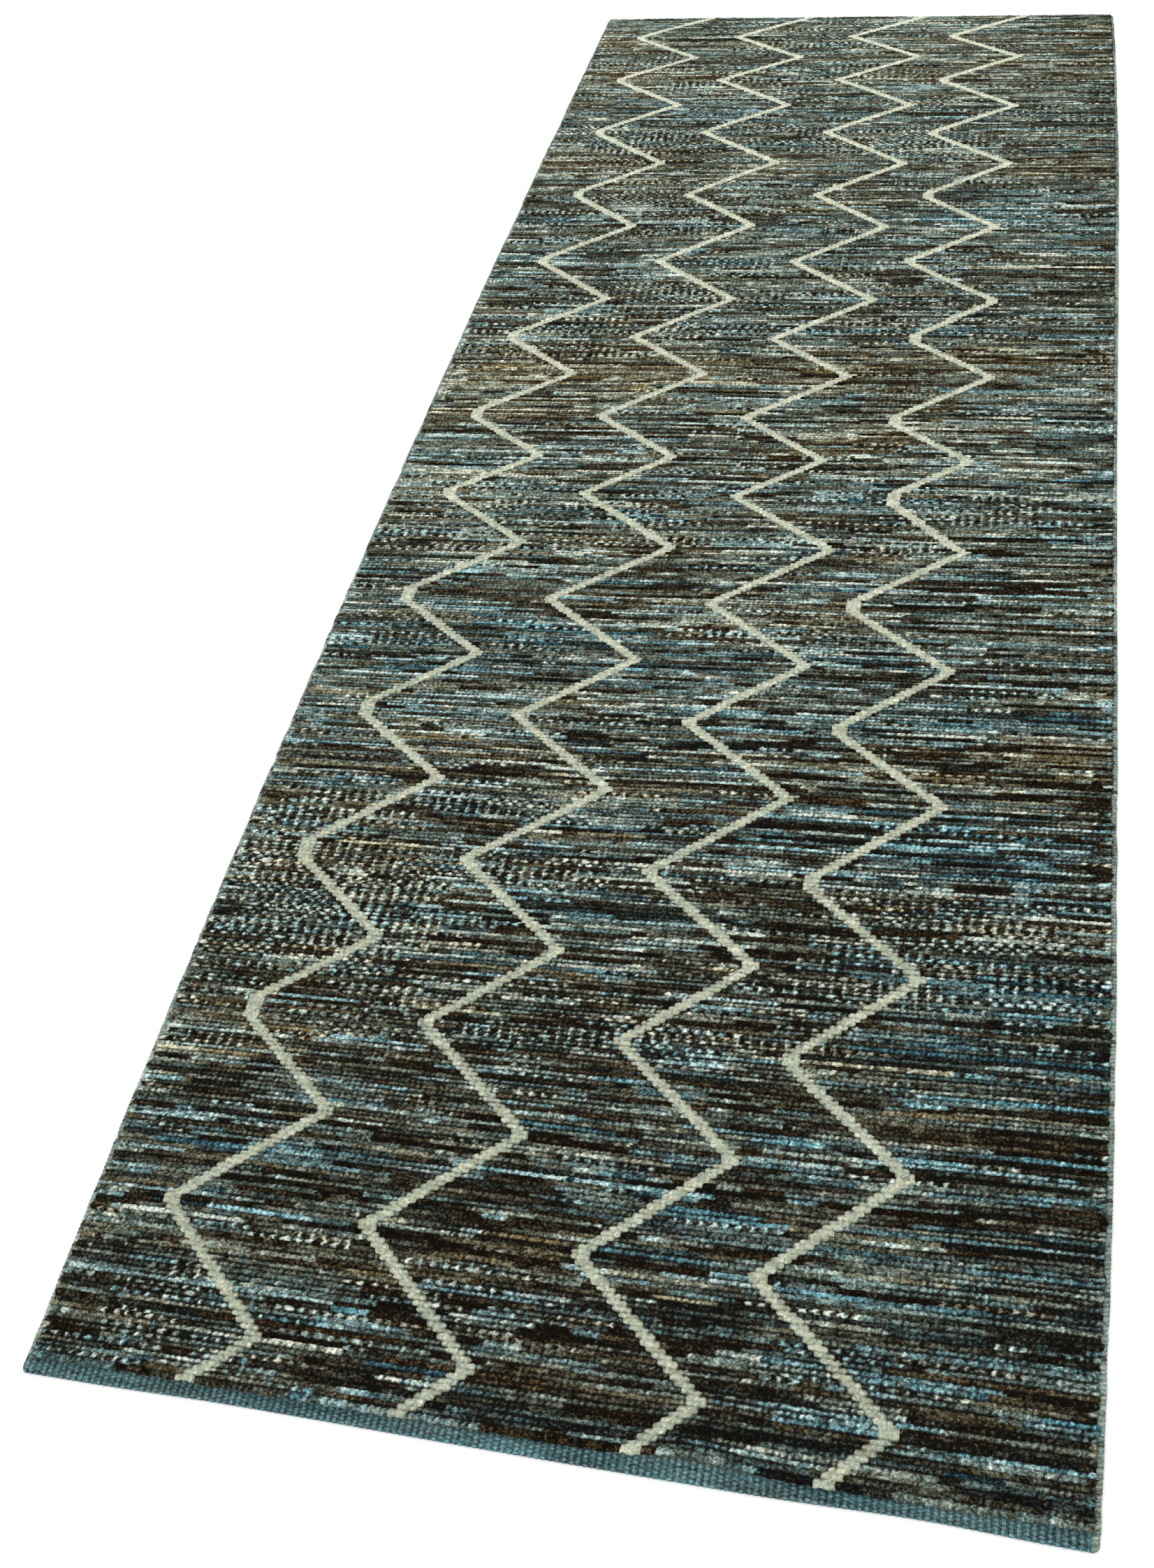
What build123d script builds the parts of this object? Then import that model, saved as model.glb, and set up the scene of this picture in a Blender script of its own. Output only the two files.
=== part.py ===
"""Hand-knotted wool runner rug, built as the weaver makes it, in millimetres.

The rug lies flat on z = 0 with its pile up. X runs across the width and Y along the length, and the
end that the weaver started at, with the wider flat-woven band, is the one at -Y. A plain weave of
warps and wefts carries rows of knots. The knots stand up as cut pile: a streaked field, crossed by
four pale zigzag lines. The ends are flat-woven bands turned under and sewn down, and each side is a
bundle of warps wrapped in yarn.
"""
from build123d import *
import math
import os

# Overall size. The sides aren't straight: a loom-woven runner draws in towards its ends.
LENGTH = 2388.0
NEAR, FAR = -LENGTH / 2, LENGTH / 2
SIDE_PLACES = (NEAR, -694.0, 6.0, 731.0, FAR)
LEFT_SIDE = (-408.0, -419.0, -421.0, -413.0, -403.0)
RIGHT_SIDE = (412.0, 421.0, 419.0, 419.0, 410.0)

# Thicknesses of the layers.
WEAVE_THICKNESS = 3.0
PILE_HEIGHT = 6.0
HEM_THICKNESS = 1.4

# End bands: how deep each shows beside the pile, and how far it is turned under.
NEAR_BAND = 13.0
FAR_BAND = 5.0
TURN_UNDER = 22.0
FOLD_RADIUS = 1.3
THREAD = 1.2

# Side wrapping and the warps inside it.
SELVEDGE_WIDTH = 6.0
SELVEDGE_HEIGHT = 5.0
SELVEDGE_ROUND = 2.0
CORE_INSET = 1.7
CORE_LOW, CORE_HIGH = 1.2, 3.8

# The knot grid. Rows are beaten down harder as the work goes on, and lean a little in the middle.
KNOT_PITCH = 5.25
ROWS = 569
BEAT_ROWS = (0, 120, 250, 400, ROWS)
BEAT_PITCHES = (5.0, 4.56, 4.01, 4.3, 3.23)
ROW_LEAN = 0.045
LEAN_SPAN = 2087.0

# The zigzags: each run goes one knot sideways per row, first to the right. All four lines turn on
# the same rows. In some of their runs the lines miss a few side steps, which blunts their left turns.
RUNS = (9, 22, 21, 22, 20, 22, 23, 22, 21, 22, 23, 23, 18, 20, 22, 20, 22, 22, 22, 20, 22, 23, 22,
        22, 22, 21, 21)
LINE_STARTS = (-274.0, -102.0, 75.0, 220.0)
MISSED_STEPS = (
    (0, 0, 0, 2, 2, 2, 2, 2, 2, 2, 2, 2, 0, 1, 2, 1, 1, 1, 1, 1, 1, 1, 1, 1, 1, 1, 0),
    (0,) * 27,
    (0,) * 15 + (1,) + (0,) * 11,
    (0, 0, 0, 1, 0, 1, 1, 1, 1, 1, 2, 7, 2, 2, 1, 1, 4, 0, 1, 1, 1, 1, 0, 1, 1, 1, 0),
)
BLUNT_ROWS = 2
LINE_WIDTH = 3 * KNOT_PITCH

PILE_NEAR, PILE_FAR = NEAR + NEAR_BAND, FAR - FAR_BAND
BEYOND = 100.0


def pitch_sum(row):
    """The sum of the row pitches from the first row to this one, before they are scaled to fit."""
    total = 0.0
    for first, last, start, end in zip(BEAT_ROWS, BEAT_ROWS[1:], BEAT_PITCHES, BEAT_PITCHES[1:]):
        part = min(max((row - first) / (last - first), 0.0), 1.0)
        total += (last - first) * (start * part + (end - start) * part * part / 2)
    return total


def on_row(row, x):
    """The point where a row of knots passes this far across the rug."""
    along = (PILE_FAR - PILE_NEAR) * pitch_sum(row) / pitch_sum(ROWS)
    lean = ROW_LEAN * max(math.sin(math.pi * min(along / LEAN_SPAN, 1.0)), 0.0)
    return x, PILE_NEAR + along + lean * x


def zigzag_corners(line):
    """The row and the place across the rug of each corner of one zigzag line's middle."""
    row, x, way = 0, LINE_STARTS[line], 1
    corners = [(row, x)]
    for run, missed in zip(RUNS, MISSED_STEPS[line]):
        held = min(missed, BLUNT_ROWS)
        if held and way > 0:
            corners.append((row + held, x))
        row += run
        x += way * KNOT_PITCH * (run - missed)
        if held and way < 0:
            corners.append((row - held, x))
        way = -way
        corners.append((row, x))
    return corners


def zigzag_face(line):
    """The plan of one zigzag line: three knots wide in every row."""
    half = LINE_WIDTH / 2
    corners = zigzag_corners(line)
    left = [on_row(row, x - half) for row, x in corners]
    right = [on_row(row, x + half) for row, x in corners]
    return make_face(Polyline(*left, *reversed(right), close=True))


def rug_plan(inset, near=NEAR, far=FAR):
    """The rug's outline, drawn in at both sides and cut to a stretch of its length."""
    left = Spline(*[(x + inset, y) for x, y in zip(LEFT_SIDE, SIDE_PLACES)])
    right = Spline(*[(x - inset, y) for x, y in zip(RIGHT_SIDE, SIDE_PLACES)])
    ends = [Line(left @ 0, right @ 0), Line(left @ 1, right @ 1)]
    width = 2 * max(RIGHT_SIDE) + BEYOND
    stretch = Pos(0, (near + far) / 2) * Rectangle(width, far - near)
    return make_face([left, right, *ends]) & stretch


def layer(plan, low, high):
    """A plan given thickness, from one height to another."""
    return Pos(0, 0, low) * extrude(plan, high - low)


def one_side(plan, way):
    """The part of a plan that is left (-1) or right (1) of the rug's middle."""
    return plan & Pos(way * LENGTH / 2, 0) * Rectangle(LENGTH, LENGTH)


def foundation():
    """The plain weave, thinner over each hem so that the underside stays flat."""
    weave = layer(rug_plan(SELVEDGE_WIDTH, PILE_NEAR, PILE_FAR), 0, WEAVE_THICKNESS)
    room = TURN_UNDER + THREAD
    for near, far in ((PILE_NEAR, PILE_NEAR + room), (PILE_FAR - room, PILE_FAR)):
        weave -= layer(rug_plan(SELVEDGE_WIDTH, near, far), 0, HEM_THICKNESS)
    return weave


def end_band(end, plan):
    """The flat-woven band at one end: folded at its edge, with its hem lying under the weave."""
    band = layer(plan, 0, WEAVE_THICKNESS)
    folds = band.edges().filter_by(Axis.X).filter_by(lambda edge: abs(edge.center().Y - end) < 0.1)
    band = fillet(folds, FOLD_RADIUS)
    way = 1 if end < 0 else -1
    inner = PILE_NEAR if end < 0 else PILE_FAR
    near, far = sorted((inner, inner + way * TURN_UNDER))
    return band + layer(rug_plan(SELVEDGE_WIDTH, near, far), 0, HEM_THICKNESS)


def hem_stitching(end):
    """The whipping thread along the inner edge of one hem."""
    way = 1 if end < 0 else -1
    inner = (PILE_NEAR if end < 0 else PILE_FAR) + way * TURN_UNDER
    near, far = sorted((inner, inner + way * THREAD))
    return layer(rug_plan(SELVEDGE_WIDTH, near, far), 0, HEM_THICKNESS)


def selvedge(way, near):
    """One side's wrapping yarn and the bundle of warps that it wraps, as two solids."""
    core_plan = rug_plan(CORE_INSET, near, FAR) - rug_plan(SELVEDGE_WIDTH - CORE_INSET, near, FAR)
    core = layer(one_side(core_plan, way), CORE_LOW, CORE_HIGH)
    wrap_plan = one_side(rug_plan(0, near, FAR) - rug_plan(SELVEDGE_WIDTH, near, FAR), way)
    wrap = layer(wrap_plan, 0, SELVEDGE_HEIGHT)
    outer_face = wrap.faces().filter_by(lambda face: face.area > LENGTH).sort_by(Axis.X)
    outer_face = [f for f in outer_face if abs(f.normal_at().X) > 0.9][0 if way < 0 else -1]
    long_edges = outer_face.edges().filter_by(lambda edge: edge.length > LENGTH / 2)
    return fillet(long_edges, SELVEDGE_ROUND) - core, core


def build():
    """Every piece of the rug, by name."""
    pieces = {"foundation_weave": foundation()}

    pile = layer(rug_plan(SELVEDGE_WIDTH, PILE_NEAR, PILE_FAR), WEAVE_THICKNESS,
                 WEAVE_THICKNESS + PILE_HEIGHT)
    field = pile
    for line in range(len(LINE_STARTS)):
        stripe = layer(zigzag_face(line), WEAVE_THICKNESS, WEAVE_THICKNESS + PILE_HEIGHT)
        pieces[f"pile_zigzag_{line + 1}"] = stripe
        field -= stripe
    for number, solid in enumerate(field.solids().sort_by(Axis.X), 1):
        pieces[f"pile_field_{number}"] = solid

    # The near band runs out to the left edge; on the right the wrapping goes on to the end.
    near_plan = rug_plan(SELVEDGE_WIDTH, NEAR, PILE_NEAR)
    near_plan += one_side(rug_plan(0, NEAR, PILE_NEAR), -1)
    pieces["end_band_near"] = end_band(NEAR, near_plan)
    pieces["end_band_far"] = end_band(FAR, rug_plan(SELVEDGE_WIDTH, PILE_FAR, FAR))
    pieces["hem_stitching_near"] = hem_stitching(NEAR)
    pieces["hem_stitching_far"] = hem_stitching(FAR)

    for side, way, near in (("left", -1, PILE_NEAR), ("right", 1, NEAR)):
        wrap, core = selvedge(way, near)
        pieces[f"selvedge_wrapping_{side}"] = wrap
        pieces[f"selvedge_core_{side}"] = core
    return pieces


os.makedirs("parts", exist_ok=True)
for name, shape in build().items():
    export_step(shape, f"parts/{name}.step")
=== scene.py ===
"""A hand-knotted wool runner: streaked cut pile, ivory zigzags, flat-woven ends and wrapped sides."""

import bpy
import numpy as np
from mathutils import Matrix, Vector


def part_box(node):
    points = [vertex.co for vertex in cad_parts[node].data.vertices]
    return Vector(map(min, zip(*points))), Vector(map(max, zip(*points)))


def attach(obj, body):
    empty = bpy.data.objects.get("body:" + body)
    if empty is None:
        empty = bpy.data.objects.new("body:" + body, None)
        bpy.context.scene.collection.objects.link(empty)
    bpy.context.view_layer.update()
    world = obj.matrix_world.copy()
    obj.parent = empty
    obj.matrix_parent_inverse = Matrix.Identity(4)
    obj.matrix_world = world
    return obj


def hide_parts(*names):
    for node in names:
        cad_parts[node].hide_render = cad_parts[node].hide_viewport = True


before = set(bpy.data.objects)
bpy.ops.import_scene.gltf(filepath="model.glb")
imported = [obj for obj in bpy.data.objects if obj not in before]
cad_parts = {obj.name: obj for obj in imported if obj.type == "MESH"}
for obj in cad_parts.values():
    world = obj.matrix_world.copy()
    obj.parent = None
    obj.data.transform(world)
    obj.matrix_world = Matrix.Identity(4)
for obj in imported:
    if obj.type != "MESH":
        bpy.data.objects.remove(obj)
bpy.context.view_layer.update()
MM = 0.001


# ---------------------------------------------------------------------------------------------------
# Foundation weave. Wool warps run the length and two shots of weft lie between the rows of knots.
# It is one laid sheet, and it shows only underneath, where the back of each knot has its yarn's
# colour. Over each turned-under hem it is thinner, so that the rug lies flat.
KNOT_PITCH = 5.25 * MM
COLUMNS = 157
ROWS = 569
BEAT_ROWS = (0, 120, 250, 400, ROWS)
BEAT_PITCHES = (5.0, 4.56, 4.01, 4.3, 3.23)
ROW_LEAN = 0.045
LEAN_SPAN = 2087 * MM
SIDES_DRAW_IN = 300 * MM
NEAR_BAND = 13 * MM
FAR_BAND = 5 * MM
TURN_UNDER = 22 * MM
THREAD = 1.2 * MM
SELVEDGE_WIDTH = 6 * MM
WEAVE_TOP = 3 * MM
HEM_THICKNESS = 1.4 * MM
ROW_WAVE = 1.3 * MM
BACK_LIFT, BACK_RELIEF = 0.12, 0.3
BACK_DARKER = 0.9

NEAR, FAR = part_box("end_band_near")[0][1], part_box("end_band_far")[1][1]
PILE_NEAR, PILE_FAR = NEAR + NEAR_BAND, FAR - FAR_BAND


def side_edge(node, way):
    """The rug's outer edge on one side, as places along the rug and how far across each one is."""
    points = np.array([vertex.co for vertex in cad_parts[node].data.vertices])
    places = np.unique(points[:, 1].round(4))
    nearby = [points[np.abs(points[:, 1] - place) < 1e-3, 0] for place in places]
    return places, np.array([way * (way * across).max() for across in nearby])


LEFT_EDGE = side_edge("selvedge_wrapping_left", -1)
RIGHT_EDGE = side_edge("selvedge_wrapping_right", 1)


def slow_noise(rng, rows, columns, row_step, column_step):
    """Smooth random change over a grid, mostly between -1 and 1."""
    at_row = np.arange(rows) / row_step
    at_column = np.arange(columns) / column_step
    points = rng.standard_normal((int(at_row[-1]) + 3, int(at_column[-1]) + 3))
    r, c = at_row.astype(int), at_column.astype(int)
    u, v = (at_row - r)[:, None], (at_column - c)[None, :]
    u, v = u * u * (3 - 2 * u), v * v * (3 - 2 * v)
    low = points[r][:, c] * (1 - v) + points[r][:, c + 1] * v
    high = points[r + 1][:, c] * (1 - v) + points[r + 1][:, c + 1] * v
    return low * (1 - u) + high * u


def beaten(rows):
    """The sum of the row pitches up to each row, before they are scaled to the rug's length."""
    total = np.zeros(len(rows))
    for first, last, start, end in zip(BEAT_ROWS, BEAT_ROWS[1:], BEAT_PITCHES, BEAT_PITCHES[1:]):
        part = np.clip((rows - first) / (last - first), 0, 1)
        total += (last - first) * (start * part + (end - start) * part * part / 2)
    return total


def knot_places(rows, columns):
    """Where the lines of the knot grid cross: x and y for each row line and column line."""
    middle = (columns - COLUMNS / 2) * KNOT_PITCH
    along = (PILE_FAR - PILE_NEAR) * beaten(rows) / beaten(np.array([ROWS]))
    lean = ROW_LEAN * np.maximum(np.sin(np.pi * np.minimum(along / LEAN_SPAN, 1)), 0)
    y = PILE_NEAR + along[:, None] + lean[:, None] * middle[None, :]
    # The weft was never pulled quite straight: rows wander a little, but not at the ends.
    ends = np.clip(np.minimum(rows, ROWS - rows) / 14, 0, 1)[:, None]
    wander = slow_noise(np.random.default_rng(5), 2 * ROWS + 1, 2 * COLUMNS + 1, 90, 60)
    picked = wander[np.ix_((rows * 2).astype(int), (columns * 2).astype(int))]
    y = y + ROW_WAVE * ends * picked
    # Columns keep their pitch in the middle, and close up or spread to meet each side.
    x = np.broadcast_to(middle[None, :], y.shape).copy()
    half = COLUMNS / 2 * KNOT_PITCH
    share = np.clip((np.abs(middle) - SIDES_DRAW_IN) / (half - SIDES_DRAW_IN), 0, 1) ** 1.5
    for (places, edge), way in ((LEFT_EDGE, -1), (RIGHT_EDGE, 1)):
        shift = np.interp(y, places, edge) - way * (SELVEDGE_WIDTH + half)
        x += np.where(way * middle > 0, share, 0)[None, :] * shift
    return x, y


def wool_mesh(name, points, faces):
    """A smooth-shaded mesh object from points and from faces of any number of corners."""
    mesh = bpy.data.meshes.new(name)
    counts = np.array([len(face) for face in faces], np.int32)
    corners = np.concatenate(faces).astype(np.int32)
    mesh.vertices.add(len(points))
    mesh.vertices.foreach_set("co", np.ascontiguousarray(points, np.float32).ravel())
    mesh.loops.add(len(corners))
    mesh.loops.foreach_set("vertex_index", corners)
    mesh.polygons.add(len(counts))
    mesh.polygons.foreach_set("loop_start", np.concatenate([[0], np.cumsum(counts)[:-1]]))
    mesh.update(calc_edges=True)
    mesh.polygons.foreach_set("use_smooth", np.full(len(counts), True))
    piece = bpy.data.objects.new(name, mesh)
    bpy.context.collection.objects.link(piece)
    return piece


def give_values(piece, name, values, domain="FACE"):
    """Stores one value for each face or corner, which the piece's material reads by name."""
    layer = piece.data.attributes.new(name, "FLOAT", domain)
    layer.data.foreach_set("value", np.ascontiguousarray(values, np.float32))


def grid_solid(name, x, y, detailed, plain, cells, foot=None):
    """A closed solid on part of a grid: one side follows the height of each grid point, and the
    other is flat, with one face for each row, and stands on its own places if a foot is given.
    Returns it with its detailed faces and the number of its others."""
    foot_x, foot_y = foot or (x, y)
    width = x.shape[1]
    rows, columns = np.nonzero(cells)
    first = rows * width + columns
    quads = np.stack([first, first + 1, first + width + 1, first + width], 1)
    flat_below = detailed.mean() > plain
    if not flat_below:
        quads = quads[:, ::-1]
    starts = quads.ravel().astype(np.int64)
    ends = np.roll(quads, -1, axis=1).ravel().astype(np.int64)
    size = x.size
    rim = ~np.isin(starts * size + ends, ends * size + starts)
    rim_starts, rim_ends = starts[rim], ends[rim]
    walls = np.stack([rim_ends, rim_starts, rim_starts + size, rim_ends + size], 1)

    edge_point = np.zeros(x.shape, bool)
    edge_point.ravel()[rim_starts] = True
    flats = []
    for row in range(cells.shape[0]):
        held = np.nonzero(cells[row])[0]
        if not len(held):
            continue
        span = np.arange(held[0], held[-1] + 2)
        low = row * width + span[edge_point[row, span]]
        high = (row + 1) * width + span[edge_point[row + 1, span]]
        loop = np.concatenate([low, high[::-1]]) + size
        flats.append(loop[::-1] if flat_below else loop)

    points = np.concatenate([
        np.stack([x.ravel(), y.ravel(), detailed.ravel()], 1),
        np.stack([foot_x.ravel(), foot_y.ravel(), np.full(size, plain)], 1),
    ])
    faces = [*quads, *walls, *flats]
    used = np.unique(np.concatenate(faces))
    renumber = np.zeros(2 * size, np.int64)
    renumber[used] = np.arange(len(used))
    piece = wool_mesh(name, points[used], [renumber[face] for face in faces])
    return piece, quads, len(walls) + len(flats)


# How much of the map's width the shown faces take, and the gaps beside and at the ends of its strips.
MAP_ROOM = 0.96
MAP_GAP = 0.02
MAP_END = 0.002


def lay_out_map(piece, quads, grid_shape, strips, hidden):
    """A map for the piece: its length cut into strips side by side, hidden faces in a margin."""
    height, width = grid_shape
    row, column = np.divmod(quads, width)
    piece_left, piece_right = column.min(), column.max()
    per_strip = -(-(height - 1) // strips)
    strip = row.min(axis=1, keepdims=True) // per_strip
    across = MAP_GAP + (1 - 2 * MAP_GAP) * (column - piece_left) / (piece_right - piece_left)
    u = MAP_ROOM * (strip + across) / strips
    v = MAP_END + (1 - 2 * MAP_END) * (row - strip * per_strip) / per_strip
    shown = np.stack([u, v], 2).reshape(-1, 2)
    side = int(np.ceil(np.sqrt(hidden)))
    corner_counts = np.zeros(len(piece.data.polygons), np.int32)
    piece.data.polygons.foreach_get("loop_total", corner_counts)
    corner_counts = corner_counts[len(quads):]
    face = np.repeat(np.arange(hidden), corner_counts)
    inside = np.arange(len(face)) - np.repeat(np.cumsum(corner_counts) - corner_counts, corner_counts)
    turn = 2 * np.pi * (inside + 0.5) / np.repeat(corner_counts, corner_counts)
    cell_u = face % side + 0.5 + 0.45 * np.cos(turn)
    cell_v = face // side + 0.5 + 0.45 * np.sin(turn)
    tucked = np.stack([MAP_ROOM + 0.005 + 0.03 * cell_u / side, cell_v / side], 1)
    layer = piece.data.uv_layers.new(name="OFBake")
    layer.data.foreach_set("uv", np.concatenate([shown, tucked]).astype(np.float32).ravel())


# Dye lots. Each is a soft patch of the rug: its row and column, half its spread in rows and columns,
# how much lighter its yarns are, and how much bluer (or browner, below nought).
DYE_LOTS = (
    (6, 70, 12, 200, -0.05, 0.10),
    (14, 140, 14, 34, 0.12, 0.15),
    (40, 140, 16, 34, 0.02, 0.20),
    (45, 92, 10, 16, 0.12, 0.25),
    (32, 28, 12, 40, -0.06, 0.05),
    (66, 12, 9, 46, 0.04, -0.55),
    (80, 148, 10, 26, -0.10, 0.55),
    (92, 62, 8, 14, 0.05, -0.35),
    (104, 72, 8, 20, -0.04, 0.40),
    (92, 104, 10, 18, -0.03, -0.40),
    (126, 136, 8, 28, 0.05, 0.70),
    (138, 62, 7, 16, 0.08, -0.35),
    (151, 138, 7, 30, -0.14, -0.70),
    (150, 30, 6, 22, -0.04, -0.45),
    (168, 128, 8, 26, 0.02, 0.65),
    (184, 40, 9, 48, 0.02, 0.60),
    (200, 98, 7, 16, -0.05, -0.55),
    (214, 26, 6, 30, 0.12, 0.25),
    (233, 8, 8, 26, -0.06, -0.25),
    (248, 112, 9, 16, 0.02, 0.45),
    (267, 40, 7, 44, 0.12, 0.20),
    (279, 104, 7, 20, -0.08, -0.80),
    (284, 10, 8, 30, -0.07, -0.25),
    (286, 150, 12, 16, -0.06, 0.35),
    (310, 30, 9, 52, -0.02, -1.00),
    (313, 104, 10, 40, 0.00, -0.60),
    (318, 152, 6, 20, -0.14, -0.70),
    (340, 92, 8, 34, 0.08, 0.00),
    (357, 10, 9, 24, -0.12, 0.05),
    (373, 34, 8, 34, 0.10, 0.40),
    (378, 112, 8, 24, 0.10, 0.25),
    (399, 128, 9, 40, 0.08, 0.60),
    (398, 20, 10, 40, -0.02, 0.35),
    (418, 52, 7, 50, 0.08, -0.20),
    (436, 14, 8, 26, -0.08, -0.80),
    (434, 70, 6, 60, -0.06, -0.35),
    (433, 148, 9, 24, -0.14, -0.40),
    (468, 60, 14, 70, 0.04, 0.30),
    (482, 44, 8, 24, 0.02, 0.60),
    (476, 140, 10, 26, -0.08, 0.30),
    (508, 10, 8, 30, 0.02, -0.70),
    (512, 130, 8, 50, 0.04, -0.40),
    (527, 110, 4, 40, 0.16, 0.15),
    (538, 8, 6, 20, -0.04, -0.90),
    (548, 150, 7, 34, -0.06, -0.30),
    (563, 60, 6, 120, 0.06, 0.10),
)
# Flecked stretches, where light and dark yarn were tied by turns: row, column, half spreads, how much.
FLECKED = (
    (12, 20, 16, 40, 0.5), (16, 70, 10, 30, 0.4), (74, 70, 7, 60, 0.95), (90, 16, 14, 26, 0.9),
    (98, 140, 12, 22, 1.0), (112, 60, 7, 60, 0.8), (118, 12, 12, 24, 0.8), (108, 128, 8, 22, 0.8),
    (100, 28, 8, 20, 0.9), (86, 100, 8, 20, 0.6), (136, 44, 8, 30, 0.6), (152, 34, 6, 24, 0.5),
    (188, 20, 8, 30, 0.5), (190, 100, 6, 22, 0.6), (230, 8, 10, 24, 1.0), (232, 58, 8, 22, 0.9),
    (244, 128, 8, 24, 0.9), (226, 100, 7, 26, 0.6), (246, 40, 6, 30, 0.6), (266, 100, 7, 30, 0.5),
    (322, 24, 6, 24, 1.0), (334, 40, 8, 30, 0.9), (334, 102, 8, 24, 0.9), (352, 48, 8, 30, 0.7),
    (356, 100, 9, 30, 0.6), (372, 60, 8, 40, 0.5), (396, 60, 8, 30, 0.6), (412, 34, 10, 34, 0.7),
    (448, 30, 12, 40, 0.8), (452, 100, 9, 34, 0.8), (458, 80, 9, 28, 0.8), (462, 12, 7, 20, 0.8),
    (496, 60, 10, 40, 0.8), (510, 80, 8, 30, 0.7), (520, 28, 9, 30, 0.7), (536, 66, 9, 30, 0.7),
    (552, 60, 8, 40, 0.6), (478, 120, 8, 24, 0.7),
)


def spread_lots(lots, column):
    """The soft patches of a list of lots added up over the knots, weighed by one of its columns."""
    rows = np.arange(ROWS)[:, None]
    columns = np.arange(COLUMNS)[None, :]
    total = np.zeros((ROWS, COLUMNS))
    for lot in lots:
        fall = ((rows - lot[0]) / lot[2]) ** 2 + ((columns - lot[1]) / lot[3]) ** 2
        total += lot[column] * np.exp(-fall)
    return total


# How the tying changes along and across the rug: rows or columns, and the value at each of them.
LIGHTER_ALONG = ((0, 60, 140, 250, 430, ROWS), (-0.07, 0.01, 0.06, 0.09, 0.08, 0.05))
LIGHTER_ACROSS = ((0, 30, 90, 125, COLUMNS), (0.07, 0.03, 0, -0.01, -0.06))
BROWNER_ALONG = ((200, 350, ROWS), (0, 0.08, 0.12))
DYES_WEAKEN_ALONG = ((150, 420), (1, 0.8))
KEPT_ALONG = ((0, 50, 90), (0.18, 0.08, 0.03))
DARKEST_ALONG = ((0, 150, 300, 430), (0.13, 0.08, 0.12, 0.17))
LIGHTEST_ALONG = ((0, 60, 120, 300, 400), (0.55, 0.58, 0.60, 0.59, 0.55))
# The near right corner was tied from longer lengths of plainer yarns.
PLAINER_ALONG = ((80, 120), (1, 0))
PLAINER_ACROSS = ((98, 112), (0, 1))
# The yarns in the basket: how often each is taken, how light it is, and how its dye leans.
LIGHT_SHARE, MIDDLE_SHARE = 0.27, 0.43
MIDDLE_TONE, FLECK_TONE, BESIDE_FLECK = 0.37, 0.72, 0.11
USUAL_DYE = {"light": 0.20, "fleck": 0.16, "middle": -0.10, "dark": -0.36}
DYE_SPREAD = 0.26
SHORTEST_RUN = 2
RUN_SHAPE, RUN_SCALE = 1.5, 6.0
LONGEST_FLECKED = 18


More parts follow.
